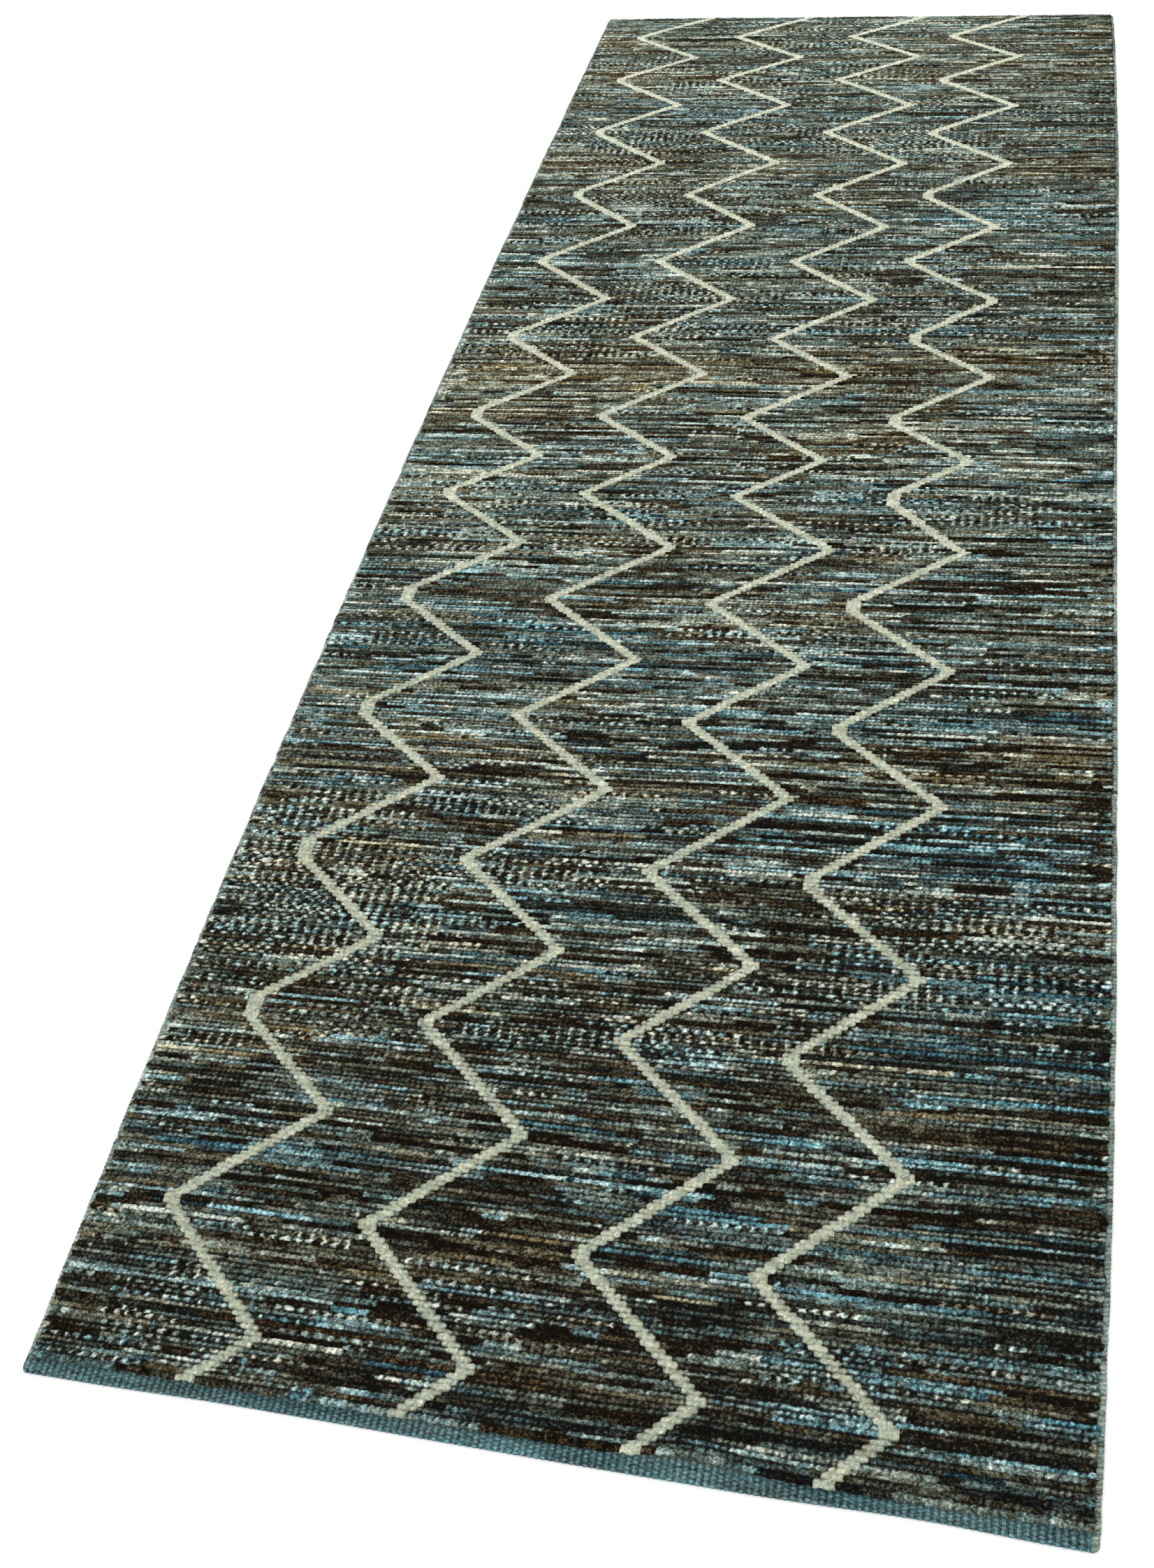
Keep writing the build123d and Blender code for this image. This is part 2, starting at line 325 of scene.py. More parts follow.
def tie_the_field():
    """Each knot's tone, from black 0 to cream 1, and its dye, from brown -1 to blue 1. The weaver
    ties a run of knots from one yarn, then takes another, and now and then keeps one for two rows."""
    rng = np.random.default_rng(11)
    lighter = 0.45 * spread_lots(DYE_LOTS, 4) + 0.03 * slow_noise(rng, ROWS, COLUMNS, 7, 26)
    lighter += np.interp(np.arange(ROWS), *LIGHTER_ALONG)[:, None]
    lighter += np.interp(np.arange(COLUMNS), *LIGHTER_ACROSS)[None, :]
    bluer = 0.7 * spread_lots(DYE_LOTS, 5) + 0.12 * slow_noise(rng, ROWS, COLUMNS, 5, 22)
    bluer += 0.16 * slow_noise(rng, ROWS, COLUMNS, 2, 12)
    bluer -= np.interp(np.arange(ROWS), *BROWNER_ALONG)[:, None]
    flecked = 0.75 * spread_lots(FLECKED, 4) + 0.1 * slow_noise(rng, ROWS, COLUMNS, 5, 16)
    tone = np.zeros((ROWS, COLUMNS))
    dye = np.zeros((ROWS, COLUMNS))
    runs = []
    for row in range(ROWS):
        above, runs = runs, []
        kept = np.interp(row, *KEPT_ALONG)
        darkest = np.interp(row, *DARKEST_ALONG)
        lightest = np.interp(row, *LIGHTEST_ALONG)
        column = -int(rng.integers(0, 8))
        while column < COLUMNS:
            plainer = np.interp(row, *PLAINER_ALONG) * np.interp(column, *PLAINER_ACROSS)
            end = column + SHORTEST_RUN + int((1 + 0.9 * plainer) * rng.gamma(RUN_SHAPE, RUN_SCALE))
            middle = min(max((column + end) // 2, 0), COLUMNS - 1)
            light_here = lighter[row, middle]
            yarn_above, tone_above = next(
                (run[2:] for run in above if run[0] <= middle < run[1]), ("dark", 0.2))
            light_chance = LIGHT_SHARE + 0.9 * light_here + 0.08 * plainer
            draw = rng.random()
            if yarn_above == "light" and rng.random() < kept:
                yarn, own_tone = "light", tone_above + rng.normal(0, 0.08)
            elif rng.random() < 0.03 + 0.85 * max(flecked[row, middle], 0):
                yarn, own_tone = "fleck", rng.normal(FLECK_TONE + 0.5 * light_here, 0.10)
                end = min(end, column + LONGEST_FLECKED)
            elif draw < light_chance:
                yarn = "light"
                usual_tone = lightest + 0.6 * light_here - 0.04 * plainer
                own_tone = rng.normal(usual_tone, 0.14 - 0.05 * plainer)
            elif draw < light_chance + MIDDLE_SHARE - 0.08 * plainer:
                yarn, own_tone = "middle", rng.normal(MIDDLE_TONE + 0.4 * light_here, 0.09)
            else:
                yarn, own_tone = "dark", rng.normal(darkest + 0.4 * light_here, 0.06)
            own_dye = bluer[row, middle] + rng.normal(USUAL_DYE[yarn], DYE_SPREAD)
            runs.append((column, end, yarn, own_tone))
            span = np.arange(max(column, 0), min(end, COLUMNS))
            tone[row, span], dye[row, span] = own_tone, own_dye
            if yarn == "fleck":
                by_turns = (span + row * int(rng.integers(0, 2))) % 2 == 0
                tone[row, span] = np.where(by_turns, own_tone, rng.normal(BESIDE_FLECK, 0.04))
                dye[row, span] = np.where(by_turns, own_dye, own_dye - 0.5)
            column = end
    strands = rng.normal(0, 1, tone.shape)
    strands = strands + 0.6 * np.roll(strands, 1, axis=1)
    tone += 0.05 * strands + 0.21 * (tone - 0.1) * rng.normal(0, 1, tone.shape)
    dye += rng.normal(0, 0.14, dye.shape)
    dye *= np.interp(np.arange(ROWS), *DYES_WEAKEN_ALONG)[:, None]
    return np.clip(tone, 0, 1), np.clip(dye, -1, 1)


# The zigzag lines step one knot sideways in each row. All four turn on the same rows. In some of
# their runs the lines miss a few side steps, which blunts their left turns.
RUNS = (9, 22, 21, 22, 20, 22, 23, 22, 21, 22, 23, 23, 18, 20, 22, 20, 22, 22, 22, 20, 22, 23, 22,
        22, 22, 21, 21)
LINE_STARTS = (-274 * MM, -102 * MM, 75 * MM, 220 * MM)
MISSED_STEPS = (
    (0, 0, 0, 2, 2, 2, 2, 2, 2, 2, 2, 2, 0, 1, 2, 1, 1, 1, 1, 1, 1, 1, 1, 1, 1, 1, 0),
    (0,) * 27,
    (0,) * 15 + (1,) + (0,) * 11,
    (0, 0, 0, 1, 0, 1, 1, 1, 1, 1, 2, 7, 2, 2, 1, 1, 4, 0, 1, 1, 1, 1, 0, 1, 1, 1, 0),
)
BLUNT_ROWS = 2
LINE_KNOTS = 3
IVORY_TONES = (0.74, 0.91)
IVORY_DYE = -0.32


def zigzag_columns(line):
    """The first column of one line's three knots, in each row."""
    row, x, way = 0, LINE_STARTS[line], 1
    corners = [(row, x)]
    for run, missed in zip(RUNS, MISSED_STEPS[line]):
        held = min(missed, BLUNT_ROWS)
        if held and way > 0:
            corners.append((row + held, x))
        row += run
        x += way * KNOT_PITCH * (run - missed)
        if held and way < 0:
            corners.append((row - held, x))
        way = -way
        corners.append((row, x))
    corner_rows, corner_places = zip(*corners)
    middle = np.interp(np.arange(ROWS) + 0.5, corner_rows, corner_places)
    return np.round(middle / KNOT_PITCH + (COLUMNS - LINE_KNOTS) / 2).astype(int)


# Which part of the pile each knot belongs to: 0 to 4 for the field from left to right, 5 to 8 for
# the zigzag lines.
FIELD_PARTS = 5
part_of = np.zeros((ROWS, COLUMNS), int)
for line in range(len(LINE_STARTS)):
    first_columns = zigzag_columns(line)
    for row in range(ROWS):
        part_of[row, first_columns[row] + LINE_KNOTS:] = line + 1
for line in range(len(LINE_STARTS)):
    first_columns = zigzag_columns(line)
    for row in range(ROWS):
        part_of[row, first_columns[row]:first_columns[row] + LINE_KNOTS] = FIELD_PARTS + line

tone, dye = tie_the_field()
ivory_rng = np.random.default_rng(23)
ivory = part_of >= FIELD_PARTS
far_lighter = np.broadcast_to(np.linspace(*IVORY_TONES, ROWS)[:, None], ivory.shape)
tone[ivory] = np.clip(ivory_rng.normal(far_lighter[ivory], 0.045), 0, 1)
dye[ivory] = ivory_rng.normal(IVORY_DYE, 0.08, ivory.sum())


def new_group(name, inputs, outputs):
    """An empty node group with named number and colour sockets, and its input and output nodes."""
    group = bpy.data.node_groups.new(name, "ShaderNodeTree")
    for label, kind, value in inputs:
        socket = group.interface.new_socket(label, in_out="INPUT", socket_type=kind)
        if value is not None:
            socket.default_value = value
    for label, kind in outputs:
        group.interface.new_socket(label, in_out="OUTPUT", socket_type=kind)
    return group, group.nodes.new("NodeGroupInput"), group.nodes.new("NodeGroupOutput")


def add_node(tree, kind, links=(), **values):
    """A node with its properties set, and its inputs set or linked by name."""
    node = tree.nodes.new(kind)
    for name, value in values.items():
        setattr(node, name, value)
    for name, value in dict(links).items():
        if isinstance(value, bpy.types.NodeSocket):
            tree.links.new(value, node.inputs[name])
        else:
            node.inputs[name].default_value = value
    return node


def maths(tree, operation, first, second=0.0, clamp=False):
    """One sum on two numbers."""
    node = add_node(tree, "ShaderNodeMath", {0: first, 1: second}, operation=operation)
    node.use_clamp = clamp
    return node.outputs[0]


def screen_to_light(part):
    """One part of a colour as seen on a screen, turned into the light that a surface sends back."""
    return part / 12.92 if part <= 0.04045 else ((part + 0.055) / 1.055) ** 2.4


def ramp(tree, value, stops):
    """A colour ramp through the stops given, as (place, colour on a screen)."""
    node = add_node(tree, "ShaderNodeValToRGB", {0: value})
    while len(node.color_ramp.elements) < len(stops):
        node.color_ramp.elements.new(0.5)
    for element, (place, colour) in zip(node.color_ramp.elements, stops):
        element.position = place
        element.color = (*(screen_to_light(part / 255) for part in colour), 1)
    return node.outputs["Color"]


def blend(tree, share, first, second):
    """Two colours mixed by a share."""
    node = add_node(tree, "ShaderNodeMix", {0: share, 6: first, 7: second}, data_type="RGBA")
    return node.outputs[2]


# The yarns' dyes: charcoal to cream for undyed tones, with a brown and a blue version of each.
dye_group, given, made = new_group(
    "yarn_dye", [("Tone", "NodeSocketFloat", 0.5), ("Dye", "NodeSocketFloat", 0.0)],
    [("Color", "NodeSocketColor")])
undyed = ramp(dye_group, given.outputs["Tone"], (
    (0.0, (8, 7, 5)), (0.1, (29, 27, 20)), (0.25, (60, 63, 53)), (0.4, (85, 93, 84)),
    (0.55, (113, 126, 117)), (0.7, (141, 156, 146)), (0.85, (178, 186, 172)), (1.0, (222, 226, 208))))
browned = ramp(dye_group, given.outputs["Tone"], (
    (0.0, (11, 7, 3)), (0.1, (38, 27, 14)), (0.25, (76, 61, 38)), (0.4, (104, 92, 62)),
    (0.55, (133, 122, 86)), (0.7, (158, 150, 112)), (0.85, (190, 184, 148)), (1.0, (226, 221, 190))))
blued = ramp(dye_group, given.outputs["Tone"], (
    (0.0, (4, 9, 11)), (0.1, (15, 31, 35)), (0.25, (36, 65, 73)), (0.4, (58, 98, 108)),
    (0.55, (84, 135, 147)), (0.7, (112, 168, 178)), (0.85, (150, 196, 203)), (1.0, (196, 228, 228))))
to_brown = maths(dye_group, "MULTIPLY", given.outputs["Dye"], -1.0, clamp=True)
to_blue = maths(dye_group, "MULTIPLY", given.outputs["Dye"], 1.0, clamp=True)
half_dyed = blend(dye_group, to_brown, undyed, browned)
dye_group.links.new(blend(dye_group, to_blue, half_dyed, blued), made.inputs["Color"])

# Wool seen close: kinked fibres that shift the tone and stand up as a fine nap.
fibre_group, given, made = new_group(
    "wool_fibres",
    [("Place", "NodeSocketVector", None), ("Fibre", "NodeSocketFloat", 1400.0),
     ("Stretch", "NodeSocketVector", (1, 1, 1))],
    [("Fleck", "NodeSocketFloat"), ("Nap", "NodeSocketFloat")])
drawn = add_node(fibre_group, "ShaderNodeVectorMath",
                 {0: given.outputs["Place"], 1: given.outputs["Stretch"]}, operation="MULTIPLY")
fine = add_node(fibre_group, "ShaderNodeTexNoise",
                {"Vector": drawn.outputs[0], "Scale": given.outputs["Fibre"], "Detail": 2.0,
                 "Roughness": 0.6})
coarse_scale = maths(fibre_group, "MULTIPLY", given.outputs["Fibre"], 0.45)
clumps = add_node(fibre_group, "ShaderNodeTexNoise",
                  {"Vector": given.outputs["Place"], "Scale": coarse_scale, "Detail": 1.0})
both = maths(fibre_group, "ADD", maths(fibre_group, "MULTIPLY", fine.outputs[0], 0.5),
             maths(fibre_group, "MULTIPLY", clumps.outputs[0], 0.5))
spread_out = maths(fibre_group, "MULTIPLY", maths(fibre_group, "SUBTRACT", both, 0.5), 3.2)
fibre_group.links.new(spread_out, made.inputs["Fleck"])
fibre_group.links.new(fine.outputs[0], made.inputs["Nap"])


def wool_material(name, fleck, fibre, stretch, painted_root_shade=None, bump=0.5):
    """Wool in the colours that its faces carry, flecked and napped. The painted root shade, if given, is
    the heights from which and up to which its colour is painted darker, as painted shade down among the
    tufts' roots and in their furrows, and how dark it gets there."""
    material = bpy.data.materials.new(name)
    material.use_nodes = True
    tree = material.node_tree
    surface = tree.nodes["Principled BSDF"]
    place = add_node(tree, "ShaderNodeTexCoord").outputs["Object"]
    fibres = add_node(tree, "ShaderNodeGroup", node_tree=fibre_group)
    tree.links.new(place, fibres.inputs["Place"])
    fibres.inputs["Fibre"].default_value = fibre
    fibres.inputs["Stretch"].default_value = stretch
    own_tone = add_node(tree, "ShaderNodeAttribute", attribute_name="tone").outputs["Fac"]
    own_dye = add_node(tree, "ShaderNodeAttribute", attribute_name="dye").outputs["Fac"]
    flecks = maths(tree, "MULTIPLY", fibres.outputs["Fleck"], fleck)
    # A light yarn shows its strands more than a dark one does.
    weight = maths(tree, "ADD", maths(tree, "MULTIPLY", own_tone, 0.55), 0.5)
    flecks = maths(tree, "MULTIPLY", flecks, weight)
    shown_tone = maths(tree, "ADD", own_tone, flecks, clamp=True)
    dyed = add_node(tree, "ShaderNodeGroup", {"Tone": shown_tone, "Dye": own_dye}, node_tree=dye_group)
    colour = dyed.outputs["Color"]
    if painted_root_shade:
        # Painted shade: below these heights the colour is blended towards near black, standing in for
        # the shade that falls down among the roots and in the furrows between tufts.
        low, high, darkest = painted_root_shade
        height = add_node(tree, "ShaderNodeSeparateXYZ", {0: place}).outputs["Z"]
        depth = add_node(tree, "ShaderNodeMapRange",
                         {"Value": height, "From Min": low, "From Max": high, "To Min": 1.0,
                          "To Max": 0.0}, interpolation_type="SMOOTHSTEP").outputs["Result"]
        shade = maths(tree, "MULTIPLY", depth, darkest)
        colour = blend(tree, shade, colour, (0.005, 0.004, 0.003, 1))
    tree.links.new(colour, surface.inputs["Base Color"])
    rough = maths(tree, "ADD", maths(tree, "MULTIPLY", fibres.outputs["Nap"], 0.2), 0.76, clamp=True)
    tree.links.new(rough, surface.inputs["Roughness"])
    lift = add_node(tree, "ShaderNodeBump",
                    {"Strength": bump, "Distance": 0.6 * MM, "Height": fibres.outputs["Nap"]})
    tree.links.new(lift.outputs["Normal"], surface.inputs["Normal"])
    surface.inputs["Specular IOR Level"].default_value = 0.03
    return material


back_wool = wool_material("knot_backs", fleck=0.16, fibre=900, stretch=(1, 1, 1), bump=0.8)

row_lines, column_lines = np.arange(ROWS + 1.0), np.arange(COLUMNS + 1.0)
x, y = knot_places(row_lines, column_lines)
back_rng = np.random.default_rng(31)
underside = (BACK_LIFT + BACK_RELIEF * back_rng.random(x.shape)) * MM
over_hem = (y < PILE_NEAR + TURN_UNDER + THREAD) | (y > PILE_FAR - TURN_UNDER - THREAD)
underside[over_hem] += HEM_THICKNESS
foundation, quads, hidden = grid_solid(
    "foundation_sheet", x, y, underside, WEAVE_TOP, np.ones((ROWS, COLUMNS), bool))
give_values(foundation, "tone", np.concatenate([tone.ravel() * BACK_DARKER, np.full(hidden, 0.3)]))
give_values(foundation, "dye", np.concatenate([dye.ravel(), np.zeros(hidden)]))
lay_out_map(foundation, quads, x.shape, 2, hidden)
foundation.data.materials.append(back_wool)
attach(foundation, "root")
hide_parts("foundation_weave")


# ---------------------------------------------------------------------------------------------------
# Pile. Every knot is a tuft of wool tied round two warps and cut level with the rest, so each row
# reads as a line of small crowned tufts, with the weft's furrow between it and the next row. The
# field is tied in streaks and flecks, and the four zigzag lines in ivory, three knots wide.
PILE_TOP = 9.0 * MM
PILE_FOOT = 2.7 * MM
ROW_FURROW = 1.75 * MM
KNOT_FURROW = 0.95 * MM
IVORY_FILL = 0.7
UNEVEN, SWELL = 0.28 * MM, 0.15 * MM
LEAN_TO_NEAR = 0.12
FULL_PITCH = 4.7 * MM
SIDLE, SLOW_SIDLE = 0.26, 0.12
ASTRAY_ACROSS, ASTRAY_ALONG = 0.30 * MM, 0.26 * MM
UNEVEN_BEAT = 0.09
SPLAY_LEFT, SPLAY_RIGHT = 3.2, 3.6
OVER_NEAR_BAND, OVER_FAR_BAND = (0.9, 1.5), (0.4, 0.8)
# Painted shade: one dark grey tone for the sides and undersides of the tuft pieces, down among the
# roots.
ROOT_SHADE_TONE = 0.25
STEP_ROUNDING = 0.35
BAND_RISE = 5 * MM
BAND_RISE_MIDDLE, BAND_RISE_WIDTH = 122 * MM, 42 * MM

half_rows, half_columns = np.arange(0, ROWS + 0.5, 0.5), np.arange(0, COLUMNS + 0.5, 0.5)
x, y = knot_places(half_rows, half_columns)
tuft_rng = np.random.default_rng(41)
mid_row = (np.arange(x.shape[0]) % 2 == 1)[:, None]
mid_knot = (np.arange(x.shape[1]) % 2 == 1)[None, :]
fine_part = np.pad(np.repeat(np.repeat(part_of, 2, axis=0), 2, axis=1), 1, mode="edge")
corners_of_part = [fine_part[1:, 1:], fine_part[:-1, 1:], fine_part[1:, :-1], fine_part[:-1, :-1]]
row_pitch = np.gradient(y, axis=0) * 2
# The closer the rows are beaten, the shallower the furrows. Here and there rows or knots close up,
# and the soft ivory yarn fills its furrows more than the rest.
furrow = (row_pitch / FULL_PITCH).clip(0.5, 1.1) ** 1.3
all_ivory = np.all([corner >= FIELD_PARTS for corner in corners_of_part], axis=0)
furrow = furrow * np.where(all_ivory, IVORY_FILL, 1)
knot_furrow = KNOT_FURROW * (0.35 + 1.3 * tuft_rng.random(x.shape))
row_furrow = ROW_FURROW * (0.90 + 0.20 * slow_noise(tuft_rng, *x.shape, 2, 16)).clip(0.35, 1.2)
between_rows = np.where(mid_knot, row_furrow, row_furrow * 1.2)
sunk = np.where(mid_row, np.where(mid_knot, 0, knot_furrow), between_rows)
height = PILE_TOP - sunk * furrow + UNEVEN * tuft_rng.standard_normal(x.shape).clip(-1.6, 1.6)
height += SWELL * slow_noise(tuft_rng, *x.shape, 30, 30).clip(-2, 2)
y = y - LEAN_TO_NEAR * row_pitch * mid_row
# The tufts of one row don't stand square behind those of the next.
sidle = KNOT_PITCH * SIDLE * (2 * tuft_rng.random(x.shape[0]) - 1)[:, None] * mid_row
sidle = sidle + KNOT_PITCH * SLOW_SIDLE * slow_noise(tuft_rng, *x.shape, 2, 14) * mid_row
sidle[:, [0, -1]] = 0
x = x + sidle
x = x + ASTRAY_ACROSS * tuft_rng.standard_normal(x.shape).clip(-2, 2)
y = y + ASTRAY_ALONG * tuft_rng.standard_normal(x.shape).clip(-2, 2)

# Over one stretch of the near end the band is a little deeper. No two rows are beaten quite alike.
rise = BAND_RISE * np.exp(-((x - BAND_RISE_MIDDLE) / BAND_RISE_WIDTH) ** 2)
y = y + rise * np.clip(1 - half_rows / 14, 0, 1)[:, None]
y = y + UNEVEN_BEAT * row_pitch * ~mid_row * slow_noise(tuft_rng, *x.shape, 2, 44).clip(-1.5, 1.5)

# The outermost tufts have nothing to hold them up, so they lean out over the side wrapping and bands.
foot = (x.copy(), y.copy())
splay = tuft_rng.random(x.shape)
height[:, [0, -1]] = np.maximum(height[:, [0, -1]], PILE_TOP - 1.1 * MM)
x[:, 0] -= (0.2 + SPLAY_LEFT * splay[:, 0] ** 3) * MM
x[:, -1] += (0.2 + SPLAY_RIGHT * splay[:, -1] ** 3) * MM
height[[0, -1], :] = np.maximum(height[[0, -1], :], PILE_TOP - 1.2 * MM)
y[0, :] -= (OVER_NEAR_BAND[0] + OVER_NEAR_BAND[1] * splay[0, :]) * MM
y[-1, :] += (OVER_FAR_BAND[0] + OVER_FAR_BAND[1] * splay[-1, :]) * MM
foot[1][0, :] += 1.2 * MM

# Where two parts meet, their tufts press into each other, which rounds the steps between them.
meets = np.any([corner != corners_of_part[0] for corner in corners_of_part], axis=0)
meets[[0, 1, -2, -1], :] = False
for grid in (x, y):
    total = np.zeros(x.shape)
    count = np.zeros(x.shape)
    for axis in (0, 1):
        for step in (-1, 1):
            beside = np.roll(meets, step, axis=axis)
            total += np.where(beside, np.roll(grid, step, axis=axis), 0)
            count += beside
    pulled = total / np.maximum(count, 1)
    moved = meets & (count >= 2)
    grid[moved] += STEP_ROUNDING * (pulled - grid)[moved]

# Both pile materials have painted shade in their colour, darker towards the tufts' roots and the furrows
# between rows; the ivory is darkened a little less.
pile_wool = wool_material("tufted_wool", fleck=0.85, fibre=800, stretch=(1, 1, 0.35),
                          painted_root_shade=(7.0 * MM, 8.6 * MM, 0.95))
ivory_wool = wool_material("ivory_wool", fleck=0.35, fibre=800, stretch=(1, 1, 0.35),
                           painted_root_shade=(6.7 * MM, 8.3 * MM, 0.72))


def tufts_beside(part, quads, rng):
    """For each corner of each face, the row and column of the knot that its wool comes from. Where
    two knots of a row meet their wool mixes, so one of them is picked; rows stay apart."""
    grid_row, grid_column = np.divmod(quads, x.shape[1])
    knot_row = np.repeat(grid_row.min(axis=1, keepdims=True) // 2, 4, axis=1)
    on_left = ((grid_column - 1) // 2).clip(0, COLUMNS - 1)
    on_right = (grid_column // 2).clip(0, COLUMNS - 1)
    picked_right = rng.random(x.shape)[grid_row, grid_column] < 0.5
    first, second = np.where(picked_right, on_right, on_left), np.where(picked_right, on_left, on_right)
    return knot_row, np.where(part_of[knot_row, first] == part, first, second)


for part in range(FIELD_PARTS + len(LINE_STARTS)):
    on_line = part >= FIELD_PARTS
    number = 1 + part % FIELD_PARTS
    name = f"zigzag_tufts_{number}" if on_line else f"field_tufts_{number}"
    cells = np.repeat(np.repeat(part_of == part, 2, axis=0), 2, axis=1)
    piece, quads, hidden = grid_solid(name, x, y, height, PILE_FOOT, cells, foot)
    knots = tufts_beside(part, quads, tuft_rng)
    tucked = len(piece.data.loops) - quads.size
    # The tuft pieces' walls and undersides all get the one dark grey tone as painted shade, not their
    # yarn's colour.
    knot_tones = np.concatenate([tone[knots].ravel(), np.full(tucked, ROOT_SHADE_TONE)])
    knot_dyes = np.concatenate([dye[knots].ravel(), np.zeros(tucked)])
    give_values(piece, "tone", knot_tones, "CORNER")
    give_values(piece, "dye", knot_dyes, "CORNER")
    lay_out_map(piece, quads, x.shape, 6 if on_line else 3, hidden)
    piece.data.materials.append(ivory_wool if on_line else pile_wool)
    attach(piece, "root")
    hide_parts(f"pile_zigzag_{number}" if on_line else f"pile_field_{number}")


# ---------------------------------------------------------------------------------------------------
# End bands. Past the last row the weft alone is beaten down over the warps, so each warp shows as a
# rib. The band is folded over at its edge and its hem lies flat underneath.
RIB_PITCH = KNOT_PITCH
WEFT_PITCH = 1.7 * MM
RIB_HEIGHT = 0.6 * MM
WEFT_HEIGHT = 0.12 * MM
BAND_THICKNESS = 3.0 * MM
FOLD_RELIEF, HEM_RELIEF = 0.8, 0.4
FOLD_STEPS, HEM_STEPS = 7, 16
RIB_STEPS = 4
UNDER_PILE = 9 * MM
CORNER_ROUND = 4 * MM
NEAR_SLACK = ((-190 * MM, 150 * MM, 2.0 * MM), (290 * MM, 70 * MM, 2.6 * MM))


def end_band(name, end, way, depth, left, right, slack, rng):
    """A band as one closed woven loop: over the top, round the fold, and back under as the hem. Its
    fold is drawn in over the slack stretches, given as middle, half width and depth."""
    nose = BAND_THICKNESS / 2
    top_steps = int(round((depth + UNDER_PILE - nose) / (WEFT_PITCH / 2)))
    path = [(depth + UNDER_PILE - step * WEFT_PITCH / 2, BAND_THICKNESS, 1)
            for step in range(top_steps)]
    for turn in np.linspace(0, np.pi, FOLD_STEPS):
        path.append((nose - nose * np.sin(turn), nose + nose * np.cos(turn), FOLD_RELIEF))
    under = np.linspace(nose + WEFT_PITCH, depth + TURN_UNDER, HEM_STEPS)
    path += [(place, 0.0, HEM_RELIEF) for place in under]
    path += [(depth + TURN_UNDER, HEM_THICKNESS, 0)]
    path += [(depth + UNDER_PILE + WEFT_PITCH, HEM_THICKNESS, 0)]
    path += [(depth + UNDER_PILE + WEFT_PITCH, BAND_THICKNESS - 0.4 * MM, 0)]
    ribs = int(round((right - left) / RIB_PITCH))
    across = np.linspace(left, right, RIB_STEPS * ribs + 1)
    rib_phase = np.arange(len(across)) / RIB_STEPS
    points = np.zeros((len(path), len(across), 3))
    loosened = np.interp([inward for inward, _, _ in path], (0, depth), (1, 0))
    sag = 0.25 * MM * slow_noise(rng, 1, len(across), 1, 60)[0]
    for middle, half_width, drawn_in in slack:
        sag += drawn_in * np.exp(-((across - middle) / half_width) ** 2)
    if way > 0:
        from_side = (across - left).clip(0, CORNER_ROUND) / CORNER_ROUND
        sag += CORNER_ROUND * (1 - np.sqrt(1 - (1 - from_side) ** 2))
    for index, (inward, high, relief) in enumerate(path):
        pick = index // 2
        rib = np.abs(np.sin(np.pi * rib_phase))
        over = np.where((np.floor(rib_phase).astype(int) + pick) % 2 == 0, 1.0, -0.4)
        beat = 1 if index % 2 else 0
        lift = relief * (RIB_HEIGHT * (rib - 0.6) + WEFT_HEIGHT * over * beat * rib)
        outward = lift if high > nose else -lift * 0.3
        points[index, :, 0] = across
        on_fold = index >= top_steps and relief == FOLD_RELIEF
        points[index, :, 1] = end + way * (inward - (lift if on_fold else 0))
        points[index, :, 1] += sag * loosened[index] * way
        points[index, :, 2] = np.maximum(high + outward, 0.02 * MM)
    loop, width = points.shape[:2]
    grid = np.arange(loop * width).reshape(loop, width)
    after = np.roll(grid, -1, axis=0)
    quads = np.stack([grid[:, :-1], after[:, :-1], after[:, 1:], grid[:, 1:]], 2).reshape(-1, 4)
    if way < 0:
        quads = quads[:, ::-1]
    caps = [grid[::-1, 0] if way > 0 else grid[:, 0], grid[:, -1] if way > 0 else grid[::-1, -1]]
    piece = wool_mesh(name, points.reshape(-1, 3), [*quads, *caps])
    return piece, loop, width - 1


band_wool = wool_material("banded_weft", fleck=0.40, fibre=1000, stretch=(1, 1.6, 1), bump=0.6)
band_rng = np.random.default_rng(53)
right_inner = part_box("end_band_near")[1][0]
bands = (
    ("near_band_weave", NEAR, 1, NEAR_BAND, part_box("end_band_near")[0][0], right_inner,
     "end_band_near", 0.39, 0.56, NEAR_SLACK),
    ("far_band_weave", FAR, -1, FAR_BAND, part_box("end_band_far")[0][0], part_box("end_band_far")[1][0],
     "end_band_far", 0.50, -0.05, ()),
)
for name, end, way, depth, left, right, node, band_tone, band_dye, slack in bands:
    piece, picks, segments = end_band(name, end, way, depth, left, right, slack, band_rng)
    by_pick = np.repeat(np.arange(picks), segments)
    rib = np.tile(np.arange(segments) // RIB_STEPS, picks)
    furrow = np.tile(np.arange(segments) % RIB_STEPS, picks)
    checked = np.where((rib + by_pick // 2) % 2 == 0, 0.05, -0.05)
    # Painted shade and light: the weft is painted darker at the edges of each rib, down in the grooves
    # between ribs, and lighter on the rib's crown.
    painted_relief_shade = np.where((furrow == 0) | (furrow == RIB_STEPS - 1), -0.09, 0.06)
    weft_tone = band_tone + checked + painted_relief_shade + 0.05 * band_rng.standard_normal(picks * segments)
    weft_tone += 0.05 * slow_noise(band_rng, picks, segments, 3, 34).ravel()
    weft_dye = band_dye + 0.12 * slow_noise(band_rng, picks, segments, 3, 50).ravel()
    give_values(piece, "tone", np.concatenate([weft_tone, [band_tone, band_tone]]))
    give_values(piece, "dye", np.concatenate([weft_dye, [band_dye, band_dye]]))
    piece.data.materials.append(band_wool)
    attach(piece, "root")
    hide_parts(node)


# ---------------------------------------------------------------------------------------------------
# Hem stitching. A linen thread whips the inner edge of each hem to the back of the weave, one slanting
# stitch to every knot or so.
STITCH_PITCH = 6 * MM
STITCH_REACH = 3.2 * MM
THREAD_RADIUS = 0.42 * MM
ROUND_SIDES = 6
THREAD_TONE, THREAD_DYE = 0.66, -0.35


